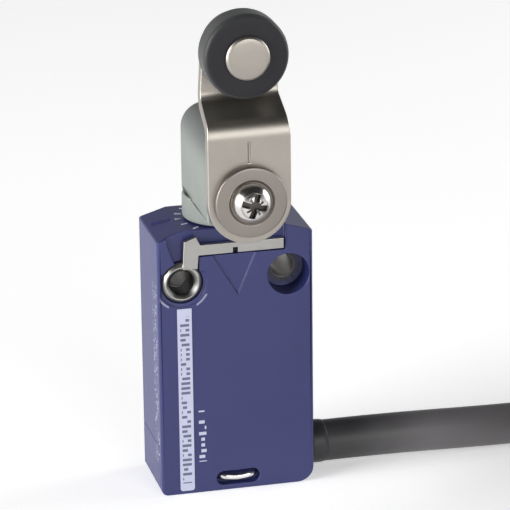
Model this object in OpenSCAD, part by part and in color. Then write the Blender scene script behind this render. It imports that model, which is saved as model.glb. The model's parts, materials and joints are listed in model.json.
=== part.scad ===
// Miniature limit switch with a roller lever head and a side cable outlet.
// X is to the right of the front face, Y to the back, Z up, in millimetres.
// The origin is the centre of the body's bottom face.

/* [Body] */
// Width of the body across its front face
body_w = 29.2; // [25:0.1:40]
// Depth of the body from front face to back face
body_d = 16; // [15:0.5:22]
// Height of the body from its bottom to the head's seat
body_h = 51.3; // [46:0.1:65]
// How far each shoulder falls from the seat to the side face
shoulder_drop = 1.4; // [0.6:0.1:2.4]
// Wall of the die-cast body
wall = 1.6; // [1.3:0.1:1.8]
// Radius of the upright edges
edge_r = 0.6; // [0.4:0.1:1.2]
// Radius of the bottom corner on the cable's side
cable_corner_r = 3.2; // [2:0.1:3.6]
// Radius of the other bottom corner
corner_r = 1.2; // [0.6:0.1:2]

/* [Mounting holes] */
// Diameter of each mounting hole
hole_d = 4.3; // [3.2:0.1:4.4]
// Distance from a hole's axis to the nearest side face
hole_edge = 4.6; // [4.5:0.1:5.4]
// Distance from the head's seat down to the holes' axis
hole_drop = 9.7; // [9:0.1:10.5]
// Diameter of the recess around each hole
recess_d = 7.9; // [7.4:0.1:8.4]
// Depth of the recess around each hole
recess_depth = 5; // [4:0.1:6]
// Diameter of the shallow dish around the lock lever's recess
dish_around_d = 9.2; // [8.6:0.1:9.6]

/* [Connection block] */
// Wall of the connection block above and below the cable's boot
block_wall = 0.5; // [0.5:0.1:1.5]
// Length of the retaining clip's window
clip_slot_w = 8.3; // [7:0.1:9]
// Height of the retaining clip's window
clip_slot_h = 2.8; // [2.2:0.1:3]
// Diameter of the retaining clip's wire
clip_wire_d = 1.4; // [1:0.1:1.6]

/* [Cable] */
// Outside diameter of the cable
cable_d = 7.9; // [6:0.1:9.2]
// Length of the sheathed cable outside the boot
cable_len = 1000; // [960:10:1060]
// How far the moulded boot stands out around the cable
boot_wall = 0.15; // [0.1:0.05:0.5]
// Length of the boot that stands out of the body
boot_out = 3.9; // [2:0.1:5]
// Diameter of one insulated core
core_d = 2.2; // [1.8:0.1:2.3]

/* [Head] */
// Width of the head block
head_w = 13.8; // [13:0.1:15]
// Distance from the head's turning axis to its front face
head_front = 16; // [14:0.5:20]
// Distance from the head's turning axis to its back face
head_back = 5.6; // [5.4:0.1:7]
// Height of the neck between the body and the head block
neck_h = 3.8; // [3.6:0.1:6]
// How far the neck stands out around the spigot
neck_rim = 2.4; // [0.6:0.1:2.6]
// Diameter of the spigot that turns in the body
spigot_d = 11; // [9:0.1:13]
// Length of the spigot
spigot_h = 5.2; // [4.4:0.1:5.4]
// Wall of the head block under the spring chamber
chamber_wall = 1.1; // [0.8:0.1:2.5]
// Height of the head's top above the shaft's axis
head_top_rise = 11.4; // [10:0.1:13]

/* [Shaft] */
// Diameter of the drive shaft
shaft_d = 5; // [4.2:0.1:6]
// Diameter of the torsion spring's wire
wire_d = 0.8; // [0.6:0.05:1]
// Diameter of the plunger
plunger_d = 3; // [2.5:0.1:3.6]
// Travel of the plunger
plunger_travel = 3; // [2:0.1:3]

/* [Lever] */
// Width of the lever's clamped end
lever_w = 15.2; // [14.4:0.1:16.4]
// How far the lever's lower end reaches below a round end about the shaft
lever_drop = 0.5; // [0:0.1:1]
// Width of the lever behind the roller
lever_top_w = 13.4; // [12:0.1:14.4]
// Thickness of the lever plate
lever_t = 2; // [1.5:0.1:2.4]
// Gap between the head's front face and the lever
lever_gap = 2; // [1.6:0.1:3]
// How far the lever steps back towards the head
lever_step = 7.1; // [5.8:0.1:7.4]
// Distance from the shaft's axis to the roller's axis
lever_reach = 26.1; // [26:0.1:34]
// Diameter of the big washer
washer_d = 13.2; // [11:0.1:14]
// Diameter of the lever screw's head
screw_head_d = 7; // [6.6:0.1:8]

/* [Roller] */
// Diameter of the roller
roller_d = 15.5; // [13.4:0.1:19.2]
// Width of the roller
roller_w = 6; // [4.5:0.1:7.2]
// Diameter of the roller's pin
pin_d = 4; // [3:0.1:5]
// Diameter of the pin's front head
pin_head_d = 8; // [7:0.1:10]

/* [Lock lever] */
// Thickness of the lock lever's plate
lock_t = 1.1; // [0.8:0.1:1.3]
// Height of the lock bar
lock_bar_h = 2; // [1.8:0.1:2.4]
// Width of the lock lever's arm
lock_arm_w = 2.8; // [2.2:0.1:3.2]

/* [Label] */
// Width of the label strip
label_w = 2.7; // [2:0.1:3]
// Height of the label strip
label_h = 36; // [20:1:36]

/* [Clearances] */
// Radial clearance of a running fit
running = 0.05; // [0.02:0.01:0.1]
// Gap between a moving piece and what it passes
gap = 0.3; // [0.3:0.05:0.4]
// Gap around a piece that is slipped into its place
slip = 0.2; // [0.1:0.05:0.3]

/* [Hidden] */
$fn = 64;
past = 1;            // how far a cutting shape runs past a face

// Body
half_w = body_w / 2;
half_d = body_d / 2;
neck_d = spigot_d + 2 * neck_rim;
seat_half = neck_d / 2 + 1.6;
side_top = body_h - shoulder_drop;
shoulder_angle = atan(shoulder_drop / (half_w - seat_half));
hole_x = half_w - hole_edge;
hole_z = body_h - hole_drop;
recess_floor = -half_d + recess_depth;

// Lock lever: its ring turns in the left hole's recess, its bar lies under the neck
lock_ring_d = recess_d - 3 * running;
lock_ring_bore = hole_d + 0.1;
lock_front = -half_d - 0.2;
lock_back = lock_front + lock_t;
lock_pocket = lock_back + gap;
lock_bar_z = hole_z + recess_d / 2 + 1.2;
lock_bar_end = hole_x - 0.9;
lock_arm_top = lock_bar_z + 3.6;
lock_arm_x = -hole_x + 1.5;
lock_swing = 10;

// Neck, spigot and seat
neck_under = body_h + gap;
block_under = body_h + neck_h;
spigot_bottom = neck_under - spigot_h;
seat_floor = spigot_bottom - gap;
seal_h = 2.2;
seal_d = plunger_d + 4;
chamber_room = 0.7;
chamber_d = shaft_d + 2 * (gap + wire_d + chamber_room);
shaft_z = block_under + chamber_wall + chamber_d / 2;
head_top = shaft_z + head_top_rise;
head_corner_r = head_w / 3;

// Cable outlet and connection block
boot_d = cable_d + 2 * boot_wall;
block_h = boot_d + 2 * block_wall;
cable_z = block_h / 2;
block_front = -half_d + wall;
clip_z = 1 + clip_slot_h / 2;
pocket_floor = clip_z + clip_wire_d / 2 + 0.5;
pocket_right = half_w - 9;
pocket_left = -half_w + 2.4;
boot_in = half_w - 7;
clip_leg_x = clip_slot_w / 2 - clip_wire_d / 2 - 0.2;
clip_bow_r = 9;

// Contact block inside the body
case_w = body_w - 2 * wall - 2 * slip;
case_d = body_d - 2 * wall - 2 * slip;
case_y = -half_d + wall + slip;
case_wall = 1.2;
gasket_t = 0.3;
board_t = 1;
board_z = block_h + gasket_t;
case_bottom = board_z + board_t + slip;
case_top = hole_z - recess_d / 2 - wall - slip;
case_floor = case_bottom + case_wall;
carriage_w = 6;
carriage_d = 4.4;
carriage_top = case_top - case_wall - 1;
carriage_bottom = case_floor + 7;
spring_seat_h = 3;
bridge_t = 0.6;
tip_h = 0.4;
tip_d = 2.2;
bridge_ratio = 0.4;
bridge_travel = plunger_travel * bridge_ratio;
bridge_z = (carriage_bottom + carriage_top) / 2;
window_up = 2.8;
window_down = 2.4;
nc_tip_z = bridge_z + bridge_t + tip_h + gap;
no_tip_z = bridge_z - tip_h - bridge_travel - gap - tip_h;
nc_leg_x = case_w / 2 - case_wall - 0.5;
no_leg_x = nc_leg_x - 1.7;
tip_x = no_leg_x - 1.3;
leg_w = 2.6;
strip_t = 0.6;

// Head
chamber_front = -head_front + 2.6 + 0.8;
cap_t = 2;
cap_front = head_back - cap_t;
seal_t = 1.2;
bush_back = chamber_front + 0.4;
bush_d = shaft_d + 2;
shaft_seal_d = shaft_d + 3;
tail_d = shaft_d - 2;
tail_y = cap_front - 0.5;
cam_r = shaft_d / 2 + 1.3;
cam_t = 3.6;
plunger_top = shaft_z - cam_r - gap;
ring_y = cam_t / 2 + 0.1;
ring_t = 0.7;
spring_turns = 7;

// Lever
lever_front = -head_front - lever_gap - lever_t;
lever_back = lever_front + lever_t;
upper_front = lever_front + lever_step;
upper_back = upper_front + lever_t;
pin_z = shaft_z + lever_reach;
bend_z = pin_z - roller_d / 2 - 7;   // where the step back starts, under the roller
bend_r = 4;
step_angle = 62;
boss_d = shaft_d + 4.6;
screw_d = shaft_d - 1.5;
washer_t = 1.6;
dish_depth = 0.5;
washer_front = lever_front - washer_t;
dish_floor = washer_front + dish_depth;
dish_d = screw_head_d + 0.6;
screw_front = dish_floor - 3.3;

// Roller
spacer_t = 0.4;
roller_back = upper_front - spacer_t - 0.05;
roller_front = roller_back - roller_w;
pin_head_t = 0.9;
pin_front = roller_front - 0.1 - pin_head_t;

// Cable: straight out of the boot, down to the floor and along it to the coil
cord_r = cable_d / 2;
cord_points = [[18.5, 0, 4.6], [23, 0, 4.6], [28, 0, 4.55], [34, 0, 4.45], [40, 0, 4.3],
    [46, 0, 4.15], [52, 0, 4.05], [58, 0, 4], [64, 0, 3.95], [71, 0, 3.95], [78, 0, 3.95]];
coil_x = 96;
coil_y = -42.95;
coil_turn_r = 39;    // middle of the coil's turns
// The cable winds clockwise: outer and inner turn on the floor, then inner and outer above,
// and its end climbs on top of the outer one
outer_r = coil_turn_r + cord_r;
inner_r = coil_turn_r - cord_r;
crossing_len = 12.4;    // taken up where the cable crosses from turn to turn
last_len = cable_len - (coil_x - cord_points[0][0]) - 2 * PI * (outer_r + 2 * inner_r)
    - crossing_len;
end_angle = 90 - last_len / outer_r * 180 / PI;   // where the last turn's sheath ends
climb = 106;            // degrees of the cable's end that lie on the turn below
core_len = 16;
strand_len = 7;

// ---- Shapes that repeat ----

// Points along an arc about c, from angle a0 to a1
function arc(c, r, a0, a1, n = 8) =
    [for (i = [0:n]) let (a = a0 + (a1 - a0) * i / n) c + r * [cos(a), sin(a)]];

// Children drawn in X and Z, made solid from y0 to y1
module front_prism(y0, y1) {
    translate([0, y1, 0]) rotate([90, 0, 0]) linear_extrude(y1 - y0) children();
}

// Children drawn in Y and Z, made solid from x0 to x1
module side_prism(x0, x1) {
    translate([x0, 0, 0]) rotate([90, 0, 90]) linear_extrude(x1 - x0) children();
}

// Round bar along Y
module bar_y(d, y0, y1, x = 0, z = 0) {
    translate([x, y1, z]) rotate([90, 0, 0]) cylinder(d = d, h = y1 - y0);
}

// Profile of radius and height, turned about the Y axis at height z; height grows to +Y
module turned_y(z) {
    translate([0, 0, z]) rotate([-90, 0, 0]) rotate_extrude() children();
}

module ring_z(d_out, d_in, z0, z1) {
    translate([0, 0, z0]) difference() {
        cylinder(d = d_out, h = z1 - z0);
        translate([0, 0, -past]) cylinder(d = d_in, h = z1 - z0 + 2 * past);
    }
}

// Solid skin over a list of rings, each a list of points about the path
module skin(rings) {
    n = len(rings[0]);
    m = len(rings);
    polyhedron(
        points = [for (r = rings) for (p = r) p],
        faces = concat(
            [[for (i = [0:n - 1]) i]],
            [for (j = [0:m - 2]) for (i = [0:n - 1])
                [j * n + i, (j + 1) * n + i, (j + 1) * n + (i + 1) % n, j * n + (i + 1) % n]],
            [[for (i = [n - 1:-1:0]) (m - 1) * n + i]]));
}

// Round wire wound about Z, with its ends on the heights z0 and z1
module coil_spring(coil_d, wire, z0, z1, turns, steps = 18, sides = 6) {
    rise = z1 - z0 - wire;
    skin([for (i = [0:turns * steps])
        let (a = 360 * i / steps, z = z0 + wire / 2 + rise * i / (turns * steps))
        [for (k = [0:sides - 1])
            let (b = -360 * k / sides, r = (coil_d - wire) / 2 + wire / 2 * cos(b))
            [r * cos(a), r * sin(a), z + wire / 2 * sin(b)]]]);
}

// Round tube along a route that never stands upright
module tube(points, r, sides = 8) {
    last = len(points) - 1;
    skin([for (i = [0:last])
        let (d = points[min(i + 1, last)] - points[max(i - 1, 0)],
            side = cross(d, [0, 0, 1]) / norm(cross(d, [0, 0, 1])),
            up = cross(side, d) / norm(d))
        [for (k = [0:sides - 1])
            let (b = -360 * (k + 0.5) / sides) points[i] + r * (cos(b) * side + sin(b) * up)]]);
}

// ---- Body ----

module body_outline() {
    top_r = 0.5;
    polygon(concat(
        arc([-half_w + corner_r, corner_r], corner_r, 180, 270),
        arc([half_w - cable_corner_r, cable_corner_r], cable_corner_r, 270, 360, 12),
        arc([half_w - top_r, side_top - top_r], top_r, 0, 90 - shoulder_angle),
        [[seat_half, body_h], [-seat_half, body_h]],
        arc([-half_w + top_r, side_top - top_r], top_r, 90 + shoulder_angle, 180)));
}

module plan_outline() {
    polygon(concat(
        arc([-half_w + edge_r, -half_d + edge_r], edge_r, 180, 270, 6),
        arc([half_w - edge_r, -half_d + edge_r], edge_r, 270, 360, 6),
        arc([half_w - edge_r, half_d - edge_r], edge_r, 0, 90, 6),
        arc([-half_w + edge_r, half_d - edge_r], edge_r, 90, 180, 6)));
}

module body_shape() {
    intersection() {
        front_prism(-half_d, half_d) body_outline();
        linear_extrude(body_h) plan_outline();
    }
}

// Pocket in the front face in which the lock lever lies and swings up
module lock_pocket_shape() {
    left = lock_arm_x - lock_arm_w / 2;
    right = lock_arm_x + lock_arm_w / 2;
    sweep = (lock_arm_top - hole_z) * sin(lock_swing);
    room = 1.3;
    front_prism(-half_d - past, lock_pocket) polygon([
        [right + gap, hole_z + 2], [right + gap, lock_bar_z - gap],
        [lock_bar_end + gap, lock_bar_z - gap], [lock_bar_end + gap, body_h + past],
        [left - sweep - room, body_h + past], [left - sweep - room, lock_arm_top - 1],
        [left - gap - 0.5, hole_z + 2]]);
}

module body_housing() {
    relief = 0.25;
    slot_end_x = (clip_slot_w - clip_slot_h) / 2;
    color([0.23, 0.24, 0.46]) difference() {
        body_shape();
        // space for the connection block, behind the front wall
        translate([-half_w - past, block_front, -past])
            cube([body_w + 2 * past, body_d, block_h + past]);
        // cavity for the gasket, the board and the contact block
        translate([-case_w / 2 - slip, block_front, block_h - past])
            cube([case_w + 2 * slip, case_d + 2 * slip, case_top + slip - block_h + past]);
        // passage of the plunger, with its seal's place and the head's seat above it
        cylinder(d = plunger_d + 2 * running, h = body_h);
        translate([0, 0, seat_floor - seal_h]) cylinder(d = seal_d, h = seal_h + past);
        translate([0, 0, seat_floor]) cylinder(d = spigot_d + 2 * running, h = body_h);
        for (x = [-hole_x, hole_x]) {
            bar_y(hole_d, -half_d - past, half_d + past, x, hole_z);
            bar_y(recess_d, -half_d - past, recess_floor, x, hole_z);
        }
        lock_pocket_shape();
        // shallow dish around the lock lever's ring, kept off the upright edge
        intersection() {
            bar_y(dish_around_d, -half_d - past, -half_d + relief, -hole_x, hole_z);
            translate([-half_w + 0.7, -half_d - past, 0]) cube([body_w, body_d, hole_z + 2]);
        }
        // fine groove across the left shoulder
        translate([-half_w, 0, side_top]) rotate([0, -shoulder_angle, 0]) rotate([0, 0, -14])
            translate([0.6, 1.9, -0.12]) cube([3.6, 0.3, past]);
        // window of the retaining clip, with round ends
        for (s = [-1, 1]) bar_y(clip_slot_h, -half_d - past, block_front + past,
            s * slot_end_x, clip_z);
        translate([-slot_end_x, -half_d - past, clip_z - clip_slot_h / 2])
            cube([2 * slot_end_x, wall + 2 * past, clip_slot_h]);
        // shallow pointer below the lock bar
        front_prism(-half_d - past, -half_d + relief) polygon([
            [-4.2, lock_bar_z - gap], [0.4, hole_z - 3], [3.8, lock_bar_z - gap]]);
    }
}

// Short radial lines and a pointer beside the neck, a step apart, that show the head's angle
module index_marks() {
    mark_t = 0.08;
    mark_w = 0.45;
    step = 20;
    inner = neck_d / 2 + 0.3;
    outer = seat_half - 0.1;
    color("white") translate([0, 0, body_h]) linear_extrude(mark_t) {
        for (i = [-2, -1, 1, 2]) rotate(180 + step * i)
            translate([inner, -mark_w / 2]) square([outer - inner, mark_w]);
        rotate(180) polygon([[inner, 0], [outer, mark_w], [outer, -mark_w]]);
    }
}

module label_strip() {
    label_t = 0.12;
    end_r = 0.5;
    x0 = -half_w + 3.5;
    z0 = 0.7;
    color([0.9, 0.91, 0.95]) front_prism(-half_d - label_t, -half_d) polygon(concat(
        arc([x0 + end_r, z0 + end_r], end_r, 180, 270, 4),
        arc([x0 + label_w - end_r, z0 + end_r], end_r, 270, 360, 4),
        [[x0 + label_w, z0 + label_h], [x0, z0 + label_h]]));
}

// ---- Connection block and cable outlet ----

module connection_block() {
    color([0.23, 0.24, 0.46]) difference() {
        intersection() {
            body_shape();
            translate([-half_w, block_front, 0]) cube([body_w, body_d, block_h]);
        }
        translate([pocket_left, block_front + 1.8, pocket_floor])
            cube([pocket_right - pocket_left, body_d - wall - 3.6, block_h]);
        // bore of the cable's boot
        translate([pocket_right - past, 0, cable_z]) rotate([0, 90, 0])
            cylinder(d = boot_d + 2 * running, h = body_w);
        for (s = [-1, 1])
            bar_y(clip_wire_d + 2 * running, block_front - past, half_d - 2.5,
                s * clip_leg_x, clip_z);
    }
}

// Spring wire clip: two legs in the block, joined by a bow that shows in the window
module block_clip() {
    corner_r = 1.2;
    bow_y = block_front - clip_wire_d / 2 - 0.1;
    bow_half = clip_leg_x - corner_r;
    bow_angle = asin(bow_half / clip_bow_r);
    bow_drop = clip_bow_r * (1 - cos(bow_angle));
    function bend(side) = [for (a = [0:22.5:90])
        [side * (bow_half + corner_r * cos(a)), bow_y + corner_r * (1 - sin(a)), clip_z]];
    bow = [for (t = [-0.8:0.2:0.8]) let (a = t * bow_angle)
        [clip_bow_r * sin(a), bow_y, clip_z - bow_drop + clip_bow_r * (1 - cos(a))]];
    right_bend = bend(1);
    color("silver") tube(concat(
        [[-clip_leg_x, half_d - 3, clip_z]], bend(-1), bow,
        [for (i = [len(right_bend) - 1:-1:0]) right_bend[i]],
        [[clip_leg_x, half_d - 3, clip_z]]), clip_wire_d / 2, 12);
}

module block_gasket() {
    rim = 1.6;
    w = case_w;
    color([0.1, 0.1, 0.1]) translate([0, 0, block_h]) difference() {
        translate([-w / 2, case_y, 0]) cube([w, case_d, gasket_t]);
        translate([-w / 2 + rim, case_y + rim, -past])
            cube([w - 2 * rim, case_d - 2 * rim, 3 * past]);
    }
}

// Resin that fills the block's pocket around the soldered cores
module potting() {
    color([0.12, 0.12, 0.14])
        translate([pocket_left + running, block_front + 1.8 + running, pocket_floor])
            cube([pocket_right - pocket_left - 2 * running,
                body_d - wall - 3.6 - 2 * running, block_h - pocket_floor - 0.4]);
}

module wiring_board() {
    color([0.1, 0.35, 0.2]) translate([-case_w / 2 + 0.4, case_y + 0.4, board_z])
        cube([case_w - 0.8, case_d - 0.8, board_t]);
}

// Moulded boot: ribbed inside the block, tapering outside it
module cable_boot() {
    out = half_w + boot_out;
    groove = 0.4;
    color([0.08, 0.08, 0.09]) translate([0, 0, cable_z]) rotate([0, 90, 0])
        rotate_extrude() polygon([
            [0, boot_in], [boot_d / 2, boot_in], [boot_d / 2, boot_in + 2],
            [boot_d / 2 - groove, boot_in + 2], [boot_d / 2 - groove, boot_in + 3.4],
            [boot_d / 2, boot_in + 3.4], [boot_d / 2, half_w + 0.6],
            [boot_d / 2 - 0.15, half_w + 0.9], [boot_d / 2, half_w + 1.2],
            [boot_d / 2, out - 1], [cable_d / 2, out], [0, out]]);
}

module cable_sheath() {
    color([0.25, 0.24, 0.24]) tube(cord_points, cord_r);
}

// Rounded rectangle of half sizes w and h about the origin
module rounded(w, h, r) {
    polygon(concat(
        arc([w - r, h - r], r, 0, 90, 6), arc([r - w, h - r], r, 90, 180, 6),
        arc([r - w, r - h], r, 180, 270, 6), arc([w - r, r - h], r, 270, 360, 6)));
}

// Outer shape of the wound cable: two turns wide and two high, and the end on top of them
module cable_coil() {
    color([0.28, 0.27, 0.27]) translate([coil_x, coil_y, 0]) {
        rotate_extrude($fn = 96)
            translate([coil_turn_r, cable_d]) rounded(cable_d, cable_d, cord_r);
        rotate([0, 0, end_angle]) rotate_extrude(angle = climb, $fn = 96)
            translate([outer_r, 2 * cable_d]) rounded(cord_r, cable_d, cord_r - running);
    }
}

// Band around the coil's turns, flat where it lies on the floor
module coil_tie() {
    band_w = 5;
    band_t = 0.8;
    color([0.1, 0.1, 0.1]) translate([coil_x + coil_turn_r, coil_y, 0])
        front_prism(-band_w / 2, band_w / 2) difference() {
            translate([0, cable_d + band_t / 2])
                rounded(cable_d + band_t, cable_d + band_t / 2, cord_r);
            translate([0, cable_d + band_t / 2])
                rounded(cable_d, cable_d - band_t / 2, cord_r - band_t);
        }
}

// Five cores that carry on along the coil's last turn, from one length past its end to another
module core_group(d, from, to) {
    cores = 5;
    spread = core_d * 0.88;
    function along(len) = end_angle - len / outer_r * 180 / PI;
    translate([coil_x, coil_y, 2 * cable_d + cord_r]) rotate([0, 0, along(to)])
        for (i = [0:cores - 1]) rotate_extrude(angle = along(from) - along(to))
            translate([outer_r + spread * cos(360 * i / cores), spread * sin(360 * i / cores)])
                circle(d = d, $fn = 24);
}

module cable_cores() {
    color([0.2, 0.35, 0.7]) core_group(core_d, 0, core_len);
}

module core_strands() {
    color([0.75, 0.45, 0.25]) core_group(core_d * 0.55, core_len, core_len + strand_len);
}

// ---- Contact block ----

module contact_case() {
    inner_w = case_w - 2 * case_wall;
    rib = carriage_w / 2 + gap;
    color([0.75, 0.73, 0.66]) {
        difference() {
            translate([-case_w / 2, case_y, case_bottom])
                cube([case_w, case_d, case_top - case_bottom]);
            translate([-inner_w / 2, case_y - past, case_floor])
                cube([inner_w, case_d - case_wall + past, case_top - case_wall - case_floor]);
            translate([0, 0, case_top - case_wall - past])
                cylinder(d = plunger_d + 2 * gap, h = body_h);
            for (s = [-1, 1], x = [nc_leg_x, no_leg_x])
                translate([s * x - strip_t / 2 - running, -leg_w / 2 - running, case_bottom - past])
                    cube([strip_t + 2 * running, leg_w + 2 * running, case_wall + 2 * past]);
        }
        // seat of the return spring
        translate([0, 0, case_bottom]) cylinder(d = 2.4, h = case_wall + spring_seat_h);
        // ribs that guide the carriage
        for (s = [-1, 1], z = [carriage_bottom + 0.4, carriage_top - 3.4])
            translate([s > 0 ? rib : -rib - 1.2, carriage_d / 2 - 1.2, z])
                cube([1.2, case_y + case_d - case_wall - carriage_d / 2 + 1.2, 3]);
    }
}

module contact_cover() {
    lip = 0.5;
    inner_w = case_w - 2 * case_wall;
    color([0.7, 0.68, 0.6]) difference() {
        translate([-inner_w / 2 + running, case_y, case_floor + running])
            cube([inner_w - 2 * running, 1, case_top - case_wall - case_floor - 2 * running]);
        // view windows over the contacts
        for (s = [-1, 1]) translate([s * tip_x - 2, case_y - past, bridge_z - 2])
            cube([4, 4, 4 - lip]);
    }
}

// Bent strip: a tongue over or under the bridge and a leg down to the board
module contact_strip(side, leg_x, z) {
    mirror([side < 0 ? 1 : 0, 0, 0]) {
        translate([tip_x - 1.3, -leg_w / 2, z])
            cube([leg_x - tip_x + 1.3 + strip_t / 2, leg_w, strip_t]);
        translate([leg_x - strip_t / 2, -leg_w / 2, board_z + board_t])
            cube([strip_t, leg_w, z - board_z - board_t]);
    }
}

module nc_contacts() {
    color("goldenrod") for (s = [-1, 1]) contact_strip(s, nc_leg_x, nc_tip_z + tip_h);
}

module no_contacts() {
    color("goldenrod") for (s = [-1, 1]) contact_strip(s, no_leg_x, no_tip_z - strip_t);
}

// Silver buttons on the fixed contacts
module fixed_tips() {
    color("silver") for (s = [-1, 1], z = [nc_tip_z, no_tip_z])
        translate([s * tip_x, 0, z]) cylinder(d = tip_d, h = tip_h);
}

module contact_bridge() {
    w = 2 * tip_x + 2.4;
    color("goldenrod") translate([-w / 2, -1.4, bridge_z]) cube([w, 2.8, bridge_t]);
}

module bridge_tips() {
    color("silver") for (s = [-1, 1], z = [bridge_z - tip_h, bridge_z + bridge_t])
        translate([s * tip_x, 0, z]) cylinder(d = tip_d, h = tip_h);
}

// Slider with a window that the bridge passes through
module contact_carriage() {
    color([0.85, 0.82, 0.3]) difference() {
        translate([-carriage_w / 2, -carriage_d / 2, carriage_bottom])
            cube([carriage_w, carriage_d, carriage_top - carriage_bottom]);
        translate([-carriage_w, -1.4 - gap, bridge_z - window_down])
            cube([2 * carriage_w, 2.8 + 2 * gap, window_down + bridge_t + window_up]);
    }
}

module contact_spring() {
    color("gray") coil_spring(2.6, 0.4, bridge_z + bridge_t, bridge_z + bridge_t + window_up, 3);
}

module return_spring() {
    color("gray") coil_spring(4.2, 0.6, case_floor, carriage_bottom, 5);
}

module plunger() {
    tip_r = 0.6;
    color("lightgray") rotate_extrude() polygon(concat(
        [[0, carriage_top], [plunger_d / 2, carriage_top]],
        arc([plunger_d / 2 - tip_r, plunger_top - tip_r], tip_r, 0, 90, 5),
        [[0, plunger_top]]));
}

module plunger_seal() {
    color([0.1, 0.1, 0.1])
        ring_z(seal_d - 2 * running, plunger_d + 2 * running, seat_floor - seal_h, seat_floor);
}

// ---- Lock lever ----

module lock_lever() {
    ring_r = lock_ring_d / 2;
    chamfer = 0.8;
    left = lock_arm_x - lock_arm_w / 2;
    right = lock_arm_x + lock_arm_w / 2;
    notch_w = 0.85;
    notch_d = 0.5;
    bar_top = lock_bar_z + lock_bar_h;
    color([0.8, 0.79, 0.76]) difference() {
        union() {
            // ring that stands in the recess of the left mounting hole
            translate([-hole_x, 0, 0]) turned_y(hole_z) polygon([
                [lock_ring_bore / 2, lock_front + chamfer], [ring_r - chamfer, lock_front],
                [ring_r, lock_front + chamfer], [ring_r, recess_floor - gap],
                [lock_ring_bore / 2, recess_floor - gap]]);
            // arm and bar, cut from one plate
            front_prism(lock_front, lock_back) polygon([
                [left, hole_z + 2.6], [right, hole_z + 2.6], [right + 0.2, lock_bar_z],
                [lock_bar_end, lock_bar_z], [lock_bar_end, bar_top], [right + 0.5, bar_top],
                [right - 0.3, lock_arm_top], [left + 0.3, lock_arm_top - 0.8]]);
        }
        // index notch in the bar's front, at its lower edge under the head's axis
        translate([-notch_w / 2, lock_front - past, lock_bar_z - past])
            cube([notch_w, past + notch_d, past + lock_bar_h / 2]);
        bar_y(lock_ring_bore, -half_d - past, half_d, -hole_x, hole_z);
    }
}

// ---- Head ----

module head_outline() {
    z_side = head_top - head_corner_r;
    foot_r = 0.8;
    polygon(concat(
        arc([-head_w / 2 + foot_r, block_under + foot_r], foot_r, 180, 270, 5),
        arc([head_w / 2 - foot_r, block_under + foot_r], foot_r, 270, 360, 5),
        arc([head_w / 2 - head_corner_r, z_side], head_corner_r, 0, 80, 10),
        arc([-head_w / 2 + head_corner_r, z_side], head_corner_r, 100, 180, 10)));
}

module head_housing() {
    color([0.66, 0.69, 0.67]) difference() {
        union() {
            front_prism(-head_front, head_back) head_outline();
            translate([0, 0, neck_under])
                cylinder(d = neck_d, h = block_under - neck_under + 1);
            translate([0, 0, spigot_bottom]) cylinder(d = spigot_d, h = spigot_h + past);
        }
        // chamber of the spring and the cam, open at the back
        bar_y(chamber_d, chamber_front, head_back + past, 0, shaft_z);
        // places of the bush and the shaft seal
        bar_y(bush_d, -head_front - past, chamber_front + past, 0, shaft_z);
        bar_y(shaft_seal_d, -head_front - past, -head_front + seal_t, 0, shaft_z);
        // passage of the plunger
        translate([0, 0, spigot_bottom - past])
            cylinder(d = plunger_d + 2 * running, h = shaft_z - spigot_bottom);
        // groove of the head seal
        ring_z(spigot_d + 2, spigot_d - 2.2, spigot_bottom + 2, spigot_bottom + 3.2);
    }
}

// Round cap pressed into the back of the head, with the shaft's rear bearing
module head_cap() {
    color([0.6, 0.62, 0.6]) difference() {
        bar_y(chamber_d - 2 * running, cap_front, head_back, 0, shaft_z);
        bar_y(tail_d + 2 * running, cap_front - past, head_back - 0.6, 0, shaft_z);
        for (s = [-1, 1]) bar_y(1.2, head_back - 0.8, head_back + past,
            s * (chamber_d / 2 - 1.4), shaft_z);
    }
}

module head_bush() {
    color([0.72, 0.55, 0.3]) difference() {
        bar_y(bush_d - 2 * running, -head_front + seal_t, bush_back, 0, shaft_z);
        bar_y(shaft_d + 2 * running, -head_front - past, bush_back + past, 0, shaft_z);
    }
}

module shaft_seal() {
    color([0.12, 0.12, 0.12]) difference() {
        bar_y(shaft_seal_d - 2 * running, -head_front, -head_front + seal_t, 0, shaft_z);
        bar_y(shaft_d + 2 * running, -head_front - past, chamber_front, 0, shaft_z);
    }
}

module head_seal() {
    section = 1.1;
    color([0.12, 0.12, 0.12]) translate([0, 0, spigot_bottom + 2.6]) rotate_extrude()
        translate([spigot_d / 2 - section / 2, 0]) circle(d = section, $fn = 24);
}

module torsion_spring() {
    front = bush_back + 0.3;
    back = -cam_t / 2 - 1;
    color("gray") translate([0, back, shaft_z]) rotate([90, 0, 0])
        coil_spring(shaft_d + 2 * (gap + wire_d), wire_d, 0, back - front, spring_turns);
}

// ---- Shaft, lever and roller ----

module drive_shaft() {
    boss_front = lever_back;
    boss_back = -head_front - 0.4;
    color("lightgray") difference() {
        turned_y(shaft_z) polygon([
            [0, lever_front + 0.1], [shaft_d / 2, lever_front + 0.1], [shaft_d / 2, boss_front],
            [boss_d / 2, boss_front], [boss_d / 2, boss_back], [shaft_d / 2, boss_back],
            [shaft_d / 2, tail_y], [tail_d / 2, tail_y], [tail_d / 2, head_back - 0.9],
            [0, head_back - 0.9]]);
        bar_y(screw_d, lever_front - past, lever_front + 9, 0, shaft_z);
        // groove of the retaining ring
        difference() {
            bar_y(shaft_d + 2, ring_y, ring_y + ring_t, 0, shaft_z);
            bar_y(shaft_d - 1, 0, tail_y, 0, shaft_z);
        }
    }
}

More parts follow.
